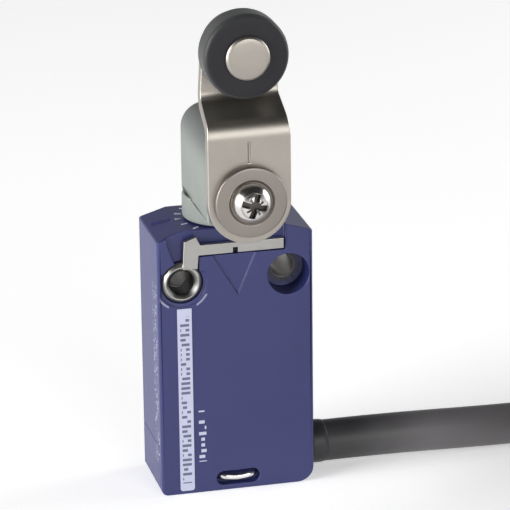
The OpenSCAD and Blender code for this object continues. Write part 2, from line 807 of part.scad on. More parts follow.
// Disc with two lobes and a flat between them that faces the plunger
module cam() {
    flat = shaft_d / 2 + 0.5;
    color([0.55, 0.56, 0.58]) difference() {
        bar_y(2 * cam_r, -cam_t / 2, cam_t / 2, 0, shaft_z);
        bar_y(shaft_d, -cam_t, cam_t, 0, shaft_z);
        translate([-cam_r, -cam_t, shaft_z - cam_r - past])
            cube([2 * cam_r, 2 * cam_t, past + cam_r - flat]);
    }
}

module retaining_ring() {
    color([0.3, 0.3, 0.32]) difference() {
        bar_y(shaft_d + 2.4, ring_y, ring_y + ring_t, 0, shaft_z);
        bar_y(shaft_d - 1, 0, tail_y, 0, shaft_z);
        translate([-1.5, 0, shaft_z]) cube([3, tail_y, shaft_d]);
    }
}

// The lever's side view: clamped plate, step back over two bends, roller plate
module lever_profile() {
    inner_r = bend_r - lever_t;
    c1 = [lever_front + bend_r, bend_z];
    mid = c1 + bend_r * [-cos(step_angle), sin(step_angle)];
    c2_y = upper_front - inner_r;
    run = (c2_y + inner_r * cos(step_angle) - mid[0]) / sin(step_angle);
    c2 = [c2_y, mid[1] + run * cos(step_angle) + inner_r * sin(step_angle)];
    top = pin_z + lever_top_w / 2;
    polygon(concat(
        [[lever_front, shaft_z - lever_w / 2 - lever_drop]],
        arc(c1, bend_r, 180, 180 - step_angle, 8),
        arc(c2, inner_r, -step_angle, 0, 6),
        [[upper_front, top], [upper_back, top]],
        arc(c2, bend_r, 0, -step_angle, 8),
        arc(c1, inner_r, 180 - step_angle, 180, 6),
        [[lever_back, shaft_z - lever_w / 2 - lever_drop]]));
}

// The lever's front view: round at both ends, a little narrower at the roller
module lever_outline() {
    lower = lever_w / 2;
    upper = lever_top_w / 2;
    polygon(concat(
        arc([0, shaft_z - lever_drop], lower, 180, 360, 24),
        [[lower, bend_z]],
        arc([0, pin_z], upper, 0, 180, 24),
        [[-lower, bend_z]]));
}

module lever_plate() {
    line_w = 0.45;
    line_d = 0.2;
    color([0.72, 0.69, 0.64]) difference() {
        intersection() {
            side_prism(-lever_w, lever_w) lever_profile();
            front_prism(lever_front - past, upper_back + past) lever_outline();
        }
        bar_y(shaft_d + 2 * running, lever_front - past, lever_back + past, 0, shaft_z);
        bar_y(pin_d, upper_front - past, upper_back + past, 0, pin_z);
        // index line between the bend and the washer
        translate([-line_w / 2, lever_front - past, shaft_z + washer_d / 2 + 0.4])
            cube([line_w, past + line_d, bend_z - shaft_z - washer_d / 2 - 0.9]);
    }
}

module lever_washer() {
    rim = 0.35;
    color([0.74, 0.7, 0.65]) turned_y(shaft_z) polygon([
        [screw_d / 2 + 0.1, lever_front], [washer_d / 2 - 0.1, lever_front],
        [washer_d / 2, lever_front - 0.2], [washer_d / 2, washer_front + rim],
        [washer_d / 2 - rim, washer_front], [dish_d / 2 + 0.5, washer_front],
        [dish_d / 2, dish_floor], [screw_d / 2 + 0.1, dish_floor]]);
}

// Pan head screw with a cross recess
module lever_screw() {
    rim = 1;
    dome = dish_floor - rim - screw_front;
    head_r = screw_head_d / 2;
    dome_r = (head_r * head_r + dome * dome) / (2 * dome);
    half_angle = asin(head_r / dome_r);
    color([0.8, 0.79, 0.77]) difference() {
        turned_y(shaft_z) polygon(concat(
            arc([0, screw_front + dome_r], dome_r, -90, -90 + half_angle, 10),
            [[head_r, dish_floor], [screw_d / 2 - 0.03, dish_floor],
                [screw_d / 2 - 0.03, lever_front + 8], [0, lever_front + 8.8]]));
        for (a = [15, 105]) translate([0, 0, shaft_z]) rotate([0, a, 0])
            translate([-2.1, screw_front - past, -0.45]) cube([4.2, past + 1.6, 0.9]);
        for (a = [60, 150]) translate([0, 0, shaft_z]) rotate([0, a, 0])
            translate([-1.3, screw_front - past, -0.15]) cube([2.6, past + 0.5, 0.3]);
    }
}

module roller_pin() {
    rim = 0.35;
    tail_r = pin_d / 2 + 1;
    color([0.76, 0.73, 0.68]) turned_y(pin_z) polygon([
        [0, pin_front], [pin_head_d / 2 - rim, pin_front], [pin_head_d / 2, pin_front + rim],
        [pin_head_d / 2, pin_front + pin_head_t], [pin_d / 2, pin_front + pin_head_t],
        [pin_d / 2, upper_back], [tail_r, upper_back], [tail_r - 0.3, upper_back + 0.6],
        [tail_r - 1, upper_back + 0.9], [0, upper_back + 0.9]]);
}

module roller_spacer() {
    color([0.7, 0.7, 0.7]) difference() {
        bar_y(pin_d + 3.4, upper_front - spacer_t, upper_front, 0, pin_z);
        bar_y(pin_d, upper_front - 2, upper_front + past, 0, pin_z);
    }
}

module roller() {
    rim = 0.9;
    r = roller_d / 2;
    bore = pin_d / 2 + running;
    color([0.12, 0.12, 0.14]) turned_y(pin_z) polygon([
        [bore, roller_front], [r - rim, roller_front], [r - 0.3 * rim, roller_front + 0.3 * rim],
        [r, roller_front + rim], [r, roller_back - rim], [r - 0.3 * rim, roller_back - 0.3 * rim],
        [r - rim, roller_back], [bore, roller_back]]);
}

body_housing();
connection_block();
block_clip();
block_gasket();
potting();
wiring_board();
contact_case();
contact_cover();
nc_contacts();
no_contacts();
fixed_tips();
return_spring();
plunger_seal();
label_strip();
index_marks();
cable_boot();
cable_sheath();
cable_coil();
coil_tie();
cable_cores();
core_strands();
lock_lever();
plunger();
contact_carriage();
contact_spring();
contact_bridge();
bridge_tips();
head_housing();
head_cap();
head_bush();
shaft_seal();
head_seal();
torsion_spring();
drive_shaft();
cam();
retaining_ring();
lever_plate();
lever_washer();
lever_screw();
roller_pin();
roller_spacer();
roller();
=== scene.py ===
# %% [markdown]
# # A miniature limit switch with a roller lever
# The switch is a small blue die casting that is screwed to a machine. A roller on a spring
# lever is pushed by a passing cam, and the contacts inside open or close. The mechanical
# model is loaded as a fixed frame, and each visible piece is dressed on top of it. Lengths
# are in metres, so MM turns the millimetres that a maker thinks in into Blender's units.

import json
import math

import bmesh
import bpy
from mathutils import Matrix, Vector


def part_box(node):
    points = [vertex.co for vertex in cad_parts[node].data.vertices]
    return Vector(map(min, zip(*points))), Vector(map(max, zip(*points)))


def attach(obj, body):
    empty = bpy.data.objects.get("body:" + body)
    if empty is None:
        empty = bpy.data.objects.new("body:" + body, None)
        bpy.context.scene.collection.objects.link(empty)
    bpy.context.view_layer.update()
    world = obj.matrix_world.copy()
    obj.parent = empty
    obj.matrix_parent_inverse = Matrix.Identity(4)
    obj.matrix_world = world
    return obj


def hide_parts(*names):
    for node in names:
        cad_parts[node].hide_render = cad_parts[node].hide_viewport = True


MM = 0.001
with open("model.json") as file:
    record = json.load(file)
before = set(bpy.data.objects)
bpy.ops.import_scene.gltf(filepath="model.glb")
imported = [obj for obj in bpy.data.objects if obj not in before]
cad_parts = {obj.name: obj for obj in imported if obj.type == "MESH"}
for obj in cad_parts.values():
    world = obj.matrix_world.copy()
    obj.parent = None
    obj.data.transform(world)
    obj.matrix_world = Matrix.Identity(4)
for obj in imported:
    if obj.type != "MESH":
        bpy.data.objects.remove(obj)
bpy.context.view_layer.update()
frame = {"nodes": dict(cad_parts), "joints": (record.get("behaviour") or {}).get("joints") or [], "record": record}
nodes = frame["nodes"]
record = frame["record"]
slot_of = {part["node"]: part["material_slot"] for part in record["subparts"]}
body_of = {n: body for body, names in record["behaviour"]["bodies"].items() for n in names}
joint_at = {j["name"]: Vector(j["pos_m"]) for j in frame["joints"] if "pos_m" in j}
shaft_at = joint_at["lever_swing"]
roller_at = joint_at["roller_spin"]
print(len(nodes), "nodes; shaft axis at", shaft_at.z, "roller axis at", roller_at.z)

# %% [markdown]
# ## The camera
# The switch is looked at from the front left and from above with a long lens, which keeps
# its upright edges almost parallel. The camera is turned in three steps: round the upright
# axis, down towards the table, and a touch of roll. A matrix says that more plainly than
# three angles whose order one has to remember.

# %% Place the camera
AZIMUTH = math.radians(13.61)
TILT = math.radians(19.28)
ROLL = math.radians(0.71)
bpy.ops.object.camera_add()
camera = bpy.context.object
camera.matrix_world = (
    Matrix.Translation((-0.1313, -0.5655, 0.2465))
    @ Matrix.Rotation(-AZIMUTH, 4, "Z")
    @ Matrix.Rotation(math.pi / 2 - TILT, 4, "X")
    @ Matrix.Rotation(-ROLL, 4, "Z")
)
camera.data.sensor_width = 36
camera.data.lens = 235
camera.data.clip_start = 0.01
bpy.context.scene.camera = camera
print("lens", camera.data.lens, "mm")

# %% [markdown]
# ## The cable's route
# One metre of round cable leaves the boot, sinks to the table and runs to a storage coil
# outside the view. The straight part is a list of given points. The coil is two
# turns wide and two high, so it is a rule: an outer turn and an inner turn on the table,
# then an inner and an outer one on top of them, and the end climbs on top of that. The
# cable takes more than a quarter turn for each crossing, so that no bend is tight, and it
# starts each one a little before it meets itself. It stops where its length is used up.

# %% Walk along the route
CABLE_D = 7.9 * MM
CABLE_LENGTH = 1.0
COIL_CENTRE = Vector((96, -42.95, 0)) * MM
OUTER_TURN = 42.95 * MM
INNER_TURN = OUTER_TURN - CABLE_D
straight = [(18.5, 0, 4.6), (23, 0, 4.6), (28, 0, 4.55), (34, 0, 4.45), (40, 0, 4.3),
            (46, 0, 4.15), (52, 0, 4.05), (58, 0, 4), (64, 0, 3.95), (71, 0, 3.95),
            (78, 0, 3.95), (84, 0, 3.95), (90, 0, 3.95)]

# where the cable starts each crossing and how long that takes, in degrees of winding
INWARDS, RISE, OUTWARDS, CLIMB = 245, 565, 890, 1215
CROSSING = 100


def eased(turned, start):
    """0 before a crossing starts and 1 after it, with a smooth change between them."""
    t = min(1, max(0, (turned - start) / CROSSING))
    return (1 - math.cos(math.pi * t)) / 2


def on_coil(turned, extra=0.0):
    """The point of the cable's axis after so many degrees of winding, clockwise from above."""
    inwards = eased(turned, INWARDS) - eased(turned, OUTWARDS)
    radius = OUTER_TURN + (INNER_TURN - OUTER_TURN) * inwards + extra
    height = CABLE_D * (0.5 + eased(turned, RISE) + eased(turned, CLIMB))
    angle = math.radians(90 - turned)
    return COIL_CENTRE + Vector((radius * math.cos(angle), radius * math.sin(angle), height))


def length_of(points):
    return sum((b - a).length for a, b in zip(points, points[1:]))


cable_path = [Vector(p) * MM for p in straight]
turned = 0.0
while length_of(cable_path + [on_coil(turned)]) < CABLE_LENGTH - 5 * MM:
    cable_path.append(on_coil(turned))
    turned += 10
while length_of(cable_path + [on_coil(turned)]) > CABLE_LENGTH:
    turned -= 0.1
cable_path.append(on_coil(turned))
sheath_end = turned
print("cable", round(length_of(cable_path), 4), "m, wound", round(sheath_end), "degrees")

# %% [markdown]
# ## A tube that follows a path
# Cables, cores and copper strands are all round tubes. A curve with a bevel would do, but a
# mesh gives a UV map whose first number is the distance along the cable, so that a pattern
# can follow it. Each ring of points stands square to the path, and the two ends are closed.


# %% Build tubes
def select_only(piece):
    bpy.ops.object.select_all(action="DESELECT")
    piece.select_set(True)
    bpy.context.view_layer.objects.active = piece


def tube(name, path, radius, sides=24, swell=None):
    """A closed round tube. swell(metres along, turns around) adds to the radius."""
    points, faces, along = [], [], 0.0
    distances = []
    for i, here in enumerate(path):
        ahead, behind = path[min(i + 1, len(path) - 1)], path[max(i - 1, 0)]
        along += (here - behind).length if i else 0.0
        distances.append(along)
        direction = (ahead - behind).normalized()
        side = direction.cross(Vector((0, 0, 1))).normalized()
        lift = side.cross(direction)
        for k in range(sides):
            turn = 2 * math.pi * k / sides
            r = radius + (swell(along, k / sides) if swell else 0)
            points.append(here + r * (math.cos(turn) * side + math.sin(turn) * lift))
    for i in range(len(path) - 1):
        for k in range(sides):
            a, b = i * sides + k, i * sides + (k + 1) % sides
            faces.append((a, b, b + sides, a + sides))
    last = (len(path) - 1) * sides
    faces.append(tuple(reversed(range(sides))))
    faces.append(tuple(range(last, last + sides)))
    mesh = bpy.data.meshes.new(name)
    mesh.from_pydata(points, [], faces)
    uv = mesh.uv_layers.new(name="along")
    for face in mesh.polygons:
        wraps = face.index < len(faces) - 2 and face.index % sides == sides - 1
        for corner in face.loop_indices:
            v = mesh.loops[corner].vertex_index
            around = 1.0 if wraps and v % sides == 0 else v % sides / sides
            uv.data[corner].uv = (distances[v // sides], around)
    piece = bpy.data.objects.new(name, mesh)
    bpy.context.scene.collection.objects.link(piece)
    select_only(piece)
    bpy.ops.object.mode_set(mode="EDIT")
    bpy.ops.mesh.select_all(action="SELECT")
    bpy.ops.mesh.normals_make_consistent(inside=False)
    bpy.ops.object.mode_set(mode="OBJECT")
    bpy.ops.object.shade_smooth_by_angle(angle=math.radians(50))
    return piece


FLUTE = 0.035 * MM
TWIST_LENGTH = 45 * MM


def lay_of_cores(along, around):
    """The five cores inside show faintly through the sheath, as long soft flutes."""
    return FLUTE * math.cos(2 * math.pi * (5 * around + along / TWIST_LENGTH))


def place(piece, body, slot, *replaced):
    """Makes a finished piece move with its body and hides the frame nodes that it stands for. The slot is not
    used.
    """
    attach(piece, body)
    if replaced:
        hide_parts(*replaced)
    return piece


cable = tube("sheathed_cable", cable_path, CABLE_D / 2 - FLUTE, 32, lay_of_cores)
place(cable, "root", "cable_jacket", "cable_sheath", "cable_coil")
print(cable.name, len(cable.data.polygons), "faces")

# %% [markdown]
# ## Core ends
# The far end of the cable is bare, as it is sold: the sheath is cut back, five coloured
# cores carry on, and a few millimetres of copper show at their tips. Each core is one tube
# along the coil's last turn, and each tip is a small bundle of seven twisted strands.

# %% Build the cores and their strands
CORE_D = 2.2 * MM
CORE_LENGTH = 16 * MM
STRAND_LENGTH = 7 * MM
CORE_SPREAD = 0.88 * CORE_D
core_colours = {"brown": (0.12, 0.045, 0.02), "blue": (0.02, 0.11, 0.42),
                "black": (0.012, 0.012, 0.013), "grey": (0.22, 0.22, 0.23),
                "green": (0.05, 0.3, 0.04)}


STRANDS = 7
STRAND_R = 0.2 * MM
STRAND_RING = 0.42 * MM
STRAND_TWIST = 2.4


def beside_cable(start, length, away, lift, r=0.0, first_angle=0.0):
    """A path along the last turn, off the cable's axis by away and lift.

    With a radius r it also winds round that line, from first_angle on."""
    span = math.degrees(length / OUTER_TURN)
    steps = 8
    path = []
    for i in range(steps + 1):
        t = i / steps
        a = first_angle + STRAND_TWIST * t
        here = on_coil(start + span * t, away + r * math.cos(a))
        path.append(here + Vector((0, 0, lift + r * math.sin(a))))
    return path


core_pieces, strand_pieces = [], []
into = math.degrees(0.4 * MM / OUTER_TURN)
core_end = sheath_end + math.degrees(CORE_LENGTH / OUTER_TURN)
for i, colour in enumerate(core_colours):
    angle = 2 * math.pi * i / len(core_colours)
    away, lift = CORE_SPREAD * math.cos(angle), CORE_SPREAD * math.sin(angle)
    core = tube(f"core_{colour}", beside_cable(sheath_end - into, CORE_LENGTH, away, lift),
                CORE_D / 2 - 0.02 * MM, 16)
    core_pieces.append(place(core, "root", "core_insulation"))
    strands = []
    for k in range(STRANDS):
        ring = STRAND_RING if k else 0.0
        path = beside_cable(core_end - 2 * into, STRAND_LENGTH, away, lift, ring,
                            2 * math.pi * k / (STRANDS - 1))
        strands.append(tube(f"strands_{colour}" if k == 0 else "strand", path, STRAND_R, 6))
    select_only(strands[0])
    for strand in strands:
        strand.select_set(True)
    bpy.ops.object.join()
    strand_pieces.append(place(strands[0], "root", "copper"))
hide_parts("cable_cores")
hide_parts("core_strands")
print(len(core_pieces), "cores and", len(strand_pieces), "bundles of strands")

# %% [markdown]
# ## The table and the light
# The floor is plain and pale. The lever is bright nickel, and such a metal shows what it
# faces: its upright front mirrors the white floor, its sloping step mirrors the darkness
# overhead. So the light comes from large soft panels at the sides, the sky grows dark
# towards the top, and nothing bright hangs straight above.

# %% Lay the floor
bpy.ops.mesh.primitive_plane_add(size=6, location=(0, 0, 0))
floor = bpy.context.object
floor.name = "floor"
print(floor.name, "laid")


# %% [markdown]
# ## Shader maths in Python
# A material is a graph of nodes. Wired by hand, even `1 - mask * 2` is two nodes and three
# links, so a small class wraps one output socket and lets Python's operators add the Math
# nodes. Any other node comes from one method that takes its type, settings and inputs.


# %% Wrap a socket
class Wire:
    """An output socket. Sums and comparisons with numbers or other wires add Math nodes."""

    def __init__(self, paint, socket):
        self.paint = paint
        self.socket = socket

    def maths(self, operation, first, second=0.0):
        return self.paint.add("Math", {"operation": operation}, {0: first, 1: second})

    def __add__(self, other):
        return self.maths("ADD", self, other)

    def __radd__(self, other):
        return self.maths("ADD", other, self)

    def __sub__(self, other):
        return self.maths("SUBTRACT", self, other)

    def __rsub__(self, other):
        return self.maths("SUBTRACT", other, self)

    def __mul__(self, other):
        return self.maths("MULTIPLY", self, other)

    def __rmul__(self, other):
        return self.maths("MULTIPLY", other, self)

    def __truediv__(self, other):
        return self.maths("DIVIDE", self, other)

    def __pow__(self, other):
        return self.maths("POWER", self, other)

    def __lt__(self, other):
        return self.maths("LESS_THAN", self, other)

    def __gt__(self, other):
        return self.maths("GREATER_THAN", self, other)

    def absolute(self):
        return self.maths("ABSOLUTE", self)

    def floor(self):
        return self.maths("FLOOR", self)

    def fraction(self):
        return self.maths("FRACT", self)


class Paint:
    """The node tree of one material or world."""

    def __init__(self, owner):
        owner.use_nodes = True
        self.owner = owner
        self.tree = owner.node_tree
        self.tree.nodes.clear()

    def add(self, kind, settings=None, inputs=None, output=0):
        """Any node: its settings first, then the numbers, colours or wires of its inputs."""
        made = self.tree.nodes.new("ShaderNode" + kind)
        for key, value in (settings or {}).items():
            setattr(made, key, value)
        for key, value in (inputs or {}).items():
            if isinstance(value, Wire):
                self.tree.links.new(value.socket, made.inputs[key])
            else:
                made.inputs[key].default_value = value
        return Wire(self, made.outputs[output])

    def blend(self, factor, first, second):
        """The first colour where factor is 0, the second where it is 1."""
        first = first if isinstance(first, Wire) else (*first, 1)
        second = second if isinstance(second, Wire) else (*second, 1)
        inputs = {0: factor, 6: first, 7: second}
        return self.add("Mix", {"data_type": "RGBA"}, inputs, 2)

    def place(self):
        return self.add("TexCoord", output="Object")

    def axis(self, name):
        """One coordinate of the place on the piece, in millimetres."""
        return self.add("SeparateXYZ", inputs={0: self.place()}, output=name) * 1000

    def noise(self, size_mm, detail=2.0, where=None, stretch=None):
        """Soft cloudy noise from 0 to 1, whose lumps are about size_mm across."""
        where = where or self.place()
        if stretch:
            where = self.add("Mapping", inputs={0: where, 3: stretch})
        inputs = {"Vector": where, "Scale": 1 / (size_mm * MM), "Detail": detail}
        return self.add("TexNoise", inputs=inputs)

    def ramp(self, value, low, high):
        """0 where value is below low and 1 where it is above high."""
        settings = {"interpolation_type": "SMOOTHSTEP"}
        return self.add("MapRange", settings, {0: value, 1: low, 2: high})

    def bump(self, height, depth_mm, strength=1.0, under=None):
        inputs = {"Height": height, "Distance": depth_mm * MM, "Strength": strength}
        if under:
            inputs["Normal"] = under
        return self.add("Bump", inputs=inputs)

    def finish(self, **sockets):
        """The shader, whose sockets are named with _ for a space, and the output."""
        inputs = {key.replace("_", " "): value for key, value in sockets.items()}
        surface = self.add("BsdfPrincipled", inputs=inputs)
        self.add_output("OutputMaterial", surface)
        return self.owner

    def add_output(self, kind, surface):
        made = self.tree.nodes.new("ShaderNode" + kind)
        self.tree.links.new(surface.socket, made.inputs["Surface"])


def new_paint(name):
    return Paint(bpy.data.materials.new(name))


print("shader helpers ready")

# %% Light the scene
SKY_LOW, SKY_HIGH = 0.8, 0.03
MIDDLE = Vector((0, -0.005, 0.045))
sky = Paint(bpy.data.worlds.new("studio"))
bpy.context.scene.world = sky.owner
height = sky.add("SeparateXYZ", inputs={0: sky.add("TexCoord")}, output="Z")
shade = sky.add("MapRange", {"interpolation_type": "SMOOTHSTEP"},
                {0: height, 1: 0.12, 2: 0.6, 3: SKY_LOW, 4: SKY_HIGH})
seen = sky.add("LightPath", output="Is Camera Ray")
strength = shade * (1 - seen) + seen
sky.add_output("OutputWorld", sky.add("Background", inputs={0: (1, 1, 1, 1), 1: strength}))


def soft_panel(name, at, size, power):
    """A square studio light that faces the middle of the switch."""
    bpy.ops.object.light_add(type="AREA", location=at)
    lamp = bpy.context.object
    lamp.name = name
    lamp.data.shape = "SQUARE"
    lamp.data.size = size
    lamp.data.energy = power
    lamp.rotation_euler = (MIDDLE - Vector(at)).to_track_quat("-Z", "Y").to_euler()


soft_panel("left_panel", (-0.85, -0.2, 0.3), 0.55, 9.5)
soft_panel("front_panel", (0.25, -1.05, 0.4), 0.6, 3.5)
soft_panel("right_panel", (0.85, 0.1, 0.3), 0.5, 4)
bpy.context.scene.view_settings.view_transform = "Standard"
print("three soft panels and a sky")

# %% [markdown]
# ## Blue paint
# The body is die-cast zinc under a satin stoving enamel. Enamel flows a little as it cures,
# which leaves the faint waviness called orange peel, and it is thinner on the edges. Inside
# the two screw holes the drill has left bare metal, and the hole walls are painted dark, as
# painted shade. Two noises give the waviness and the slow changes of tone, and masks from
# the distance to each hole's axis give the metal and the painted shade. The small prints are
# rows of plain blocks, switched on and off by a white noise that has one value for each cell
# of a grid. Two light arcs below the left hole are painted highlights.


# %% Mix the blue paint
def edge_of(paint):
    """1 on the rounded edges of a piece and 0 on its faces, from the piece's attribute."""
    settings = {"attribute_name": "edge", "attribute_type": "GEOMETRY"}
    return paint.add("Attribute", settings, output="Fac")


HOLE_X, HOLE_Z = 10, 41.6
FRONT_Y, LEFT_X = -7.95, -14.5


def between(value, low, high):
    return (value > low) * (value < high)


def squared_distance_to_hole(paint):
    """From the axis of the nearer mounting hole, in square millimetres."""
    return (paint.axis("X").absolute() - HOLE_X) ** 2 + (paint.axis("Z") - HOLE_Z) ** 2


def hole_wall_shade(paint):
    """The walls of the two mounting holes, away from their front edge, where painted shade goes."""
    near = squared_distance_to_hole(paint) < 3.1 ** 2
    return near * paint.ramp(paint.axis("Y"), -8.4, -7.4)


def printed_rows(paint, across, z, row, pitch):
    """Rows of plain blocks with gaps, row high and pitch wide, that say nothing."""
    block = paint.add("CombineXYZ", inputs={0: (across / pitch).floor(), 1: (z / row).floor()})
    filled = paint.add("TexWhiteNoise", {"noise_dimensions": "2D"}, {"Vector": block}) > 0.38
    return filled * ((z / row).fraction() < 0.55)


def prints_and_highlight_arcs(paint):
    """Small printed rows beside the label and on the left face, and two light arcs below the left hole that are
    painted highlights.
    """
    x, y, z = paint.axis("X"), paint.axis("Y"), paint.axis("Z")
    on_front = y < FRONT_Y
    beside_label = between(x, -7.4, -6.0) * between(z, 6.2, 16.4) * on_front
    rows = printed_rows(paint, x, z, 1.15, 0.7) * beside_label
    on_left = between(y, -6.6, -3.2) * between(z, 6, 41) * (x < LEFT_X)
    worn = paint.ramp(paint.noise(1.2, 2), 0.4, 0.62)
    rows = rows + printed_rows(paint, y, z, 0.75, 0.5) * on_left * worn * 0.7
    to_hole = squared_distance_to_hole(paint)
    # painted highlights: two light arcs below the left hole, on the front
    highlight_arc = between(to_hole, 4.9 ** 2, 5.25 ** 2) * (z < HOLE_Z - 2.4) * (x < 0) * on_front
    aside = (x + HOLE_X).absolute() > 2.6
    return rows + highlight_arc * aside * 0.5


def blue_paint():
    paint = new_paint("blue_enamel")
    cloud = paint.noise(9, 3)
    peel = paint.noise(0.55, 2)
    fine = paint.noise(0.12, 1)
    tone = paint.blend(cloud, (0.0165, 0.021, 0.108), (0.024, 0.029, 0.136))
    rub = paint.ramp(edge_of(paint) + paint.noise(1.4, 3) * 0.9, 1.15, 1.6)
    tone = paint.blend(rub * 0.5, tone, (0.075, 0.08, 0.2))
    # printed rows, and painted highlight arcs below the left hole
    tone = paint.blend(prints_and_highlight_arcs(paint), tone, (0.5, 0.52, 0.66))
    # painted shade: the walls of the holes are painted nearly black
    tone = paint.blend(hole_wall_shade(paint) * 0.8, tone, (0.02, 0.02, 0.028))
    bare = squared_distance_to_hole(paint) < 2.28 ** 2
    tone = paint.blend(bare, tone, (0.30, 0.29, 0.28))
    rough = 0.36 + peel * 0.1 + cloud * 0.06
    normal = paint.bump(peel * 0.8 + fine * 0.2, 0.03, 0.35)
    return paint.finish(Base_Color=tone, Roughness=rough, Normal=normal, Metallic=bare * 0.8,
                        Coat_Weight=0.12, Coat_Roughness=0.25)


finishes = {"blue_paint": blue_paint()}
print("blue paint mixed")

# %% [markdown]
# ## Grey casting and bright plated steel
# The head is sprayed a matte grey-green, and its top under the lever is painted darker, as
# painted shade. Its skin is rough at the scale of sand, which a fine noise in the bump gives.
# The lever, washer and roller pin are nickel plated: warm grey, with a satin surface from
# tumbling and a few long faint scratches. Scratches are noise stretched along the upright
# axis, cut to thin lines by a ramp. The locking lever gets its own mask, which paints its
# hole and the small notch in its bar dark, as painted shade.


# %% Mix the casting's finish
def cast_metal():
    paint = new_paint("grey_casting")
    sand = paint.noise(0.22, 3)
    cloud = paint.noise(7, 3)
    tone = paint.blend(cloud, (0.20, 0.22, 0.205), (0.25, 0.27, 0.252))
    rub = paint.ramp(edge_of(paint) + sand * 0.6, 1.0, 1.5)
    tone = paint.blend(rub * 0.4, tone, (0.45, 0.47, 0.45))
    # painted shade: the top of the head under the lever is painted darker
    shade_under_lever = paint.ramp(paint.axis("Z") + cloud * 2, 65, 72)
    tone = paint.blend(shade_under_lever * 0.75, tone, (0.10, 0.105, 0.105))
    rough = 0.5 + sand * 0.15
    return paint.finish(Base_Color=tone, Roughness=rough, Metallic=0.15,
                        Normal=paint.bump(sand, 0.03, 0.4))


def plated(name, low, high, rough, shaded=None):
    """Plated steel: slow changes of tone, satin grain and long upright scratches.

    A function given as shaded says where the tone is painted nearly black, as painted shade."""
    paint = new_paint(name)
    cloud = paint.noise(5, 4)
    grain = paint.noise(0.3, 3)
    scratch = paint.ramp(paint.noise(0.16, 1, stretch=(1, 1, 0.05)), 0.66, 0.72)
    tone = paint.blend(cloud, low, high)
    tone = paint.blend(edge_of(paint) * 0.3, tone, (0.7, 0.67, 0.63))
    if shaded:
        # painted shade: nearly black where shaded says
        tone = paint.blend(shaded(paint), tone, (0.02, 0.02, 0.024))
    roughness = rough + cloud * 0.1 + grain * 0.06 - scratch * 0.05
    normal = paint.bump(grain + scratch * 0.5, 0.008, 0.3)
    return paint.finish(Base_Color=tone, Roughness=roughness, Metallic=1.0, Normal=normal)


finishes["cast_metal"] = cast_metal()
finishes["nickel_steel"] = plated("satin_nickel", (0.33, 0.305, 0.275), (0.40, 0.37, 0.33), 0.3)
washer_finish = plated("tumbled_nickel", (0.24, 0.215, 0.195), (0.30, 0.27, 0.245), 0.34)


def shade_in_hole_and_notch(paint):
    """The hole's wall and the small blind notch in the middle of the bar, both painted dark as painted shade."""
    z = paint.axis("Z")
    notch = (paint.axis("X").absolute() < 0.46) * between(z, 46.7, 47.8)
    notch = notch * (paint.axis("Y") > -8.15)
    return hole_wall_shade(paint) * 0.9 + notch


lock_finish = plated("pressed_nickel", (0.33, 0.325, 0.31), (0.42, 0.415, 0.40), 0.3,
                     shaded=shade_in_hole_and_notch)
finishes["polished_steel"] = plated("bright_steel", (0.70, 0.68, 0.65), (0.80, 0.78, 0.75), 0.14)
finishes["spring_steel"] = plated("spring_wire", (0.35, 0.34, 0.33), (0.45, 0.44, 0.43), 0.3)
finishes["silver"] = plated("silver_rivet", (0.75, 0.74, 0.72), (0.85, 0.84, 0.82), 0.2)
finishes["brass"] = plated("sheet_brass", (0.60, 0.42, 0.16), (0.72, 0.52, 0.22), 0.3)
finishes["bronze"] = plated("sintered_bronze", (0.42, 0.26, 0.11), (0.52, 0.33, 0.15), 0.5)
finishes["copper"] = plated("bare_copper", (0.62, 0.28, 0.16), (0.74, 0.38, 0.22), 0.3)
print(len(finishes), "finishes so far")

# %% [markdown]
# ## Plastics, rubber and film
# Moulded plastics differ in colour and in how coarse the mould was. One function takes
# these and makes the grain, a little dust and the wear. The cable's sheath is different: it
# is drawn through a die, so its marks run along the cable, and a noise on the tube's own
# UV map follows every turn of the coil. Past its first centimetres it is painted a little
# lighter, as painted light.


# %% Mix the plastics
def moulded(name, colour, rough, grain_mm=0.2, depth_mm=0.01, dust=0.08):
    paint = new_paint(name)
    grain = paint.noise(grain_mm, 3)
    cloud = paint.noise(4, 4)
    lighter = tuple(c + dust * 0.3 + 0.01 for c in colour)
    tone = paint.blend(cloud * 0.5, colour, lighter)
    tone = paint.blend(edge_of(paint) * 0.35, tone, lighter)
    return paint.finish(Base_Color=tone, Roughness=rough + cloud * 0.08 + grain * 0.08,
                        Normal=paint.bump(grain, depth_mm, 0.5))


def drawn_sheath():
    paint = new_paint("drawn_sheath")
    along = paint.add("UVMap", {"uv_map": "along"})
    lines = paint.noise(1, 3, along, (0.02, 0.012, 1))
    scuffs = paint.noise(1, 4, along, (0.25, 0.004, 1))
    dull = paint.noise(6, 3)
    tone = paint.blend(lines, (0.022, 0.021, 0.023), (0.05, 0.047, 0.05))
    tone = paint.blend(paint.ramp(scuffs, 0.58, 0.8) * 0.35, tone, (0.12, 0.115, 0.12))
    # painted light: the sheath is painted lighter away from the body
    painted_light_farther_out = paint.ramp(paint.axis("X") + dull * 6, 24, 44)
    tone = paint.blend(painted_light_farther_out * 0.8, tone, (0.155, 0.148, 0.153))
    normal = paint.bump(lines, 0.02, 0.4, paint.bump(paint.noise(0.3, 2), 0.01, 0.3))
    return paint.finish(Base_Color=tone, Roughness=0.42 + dull * 0.16, Normal=normal)


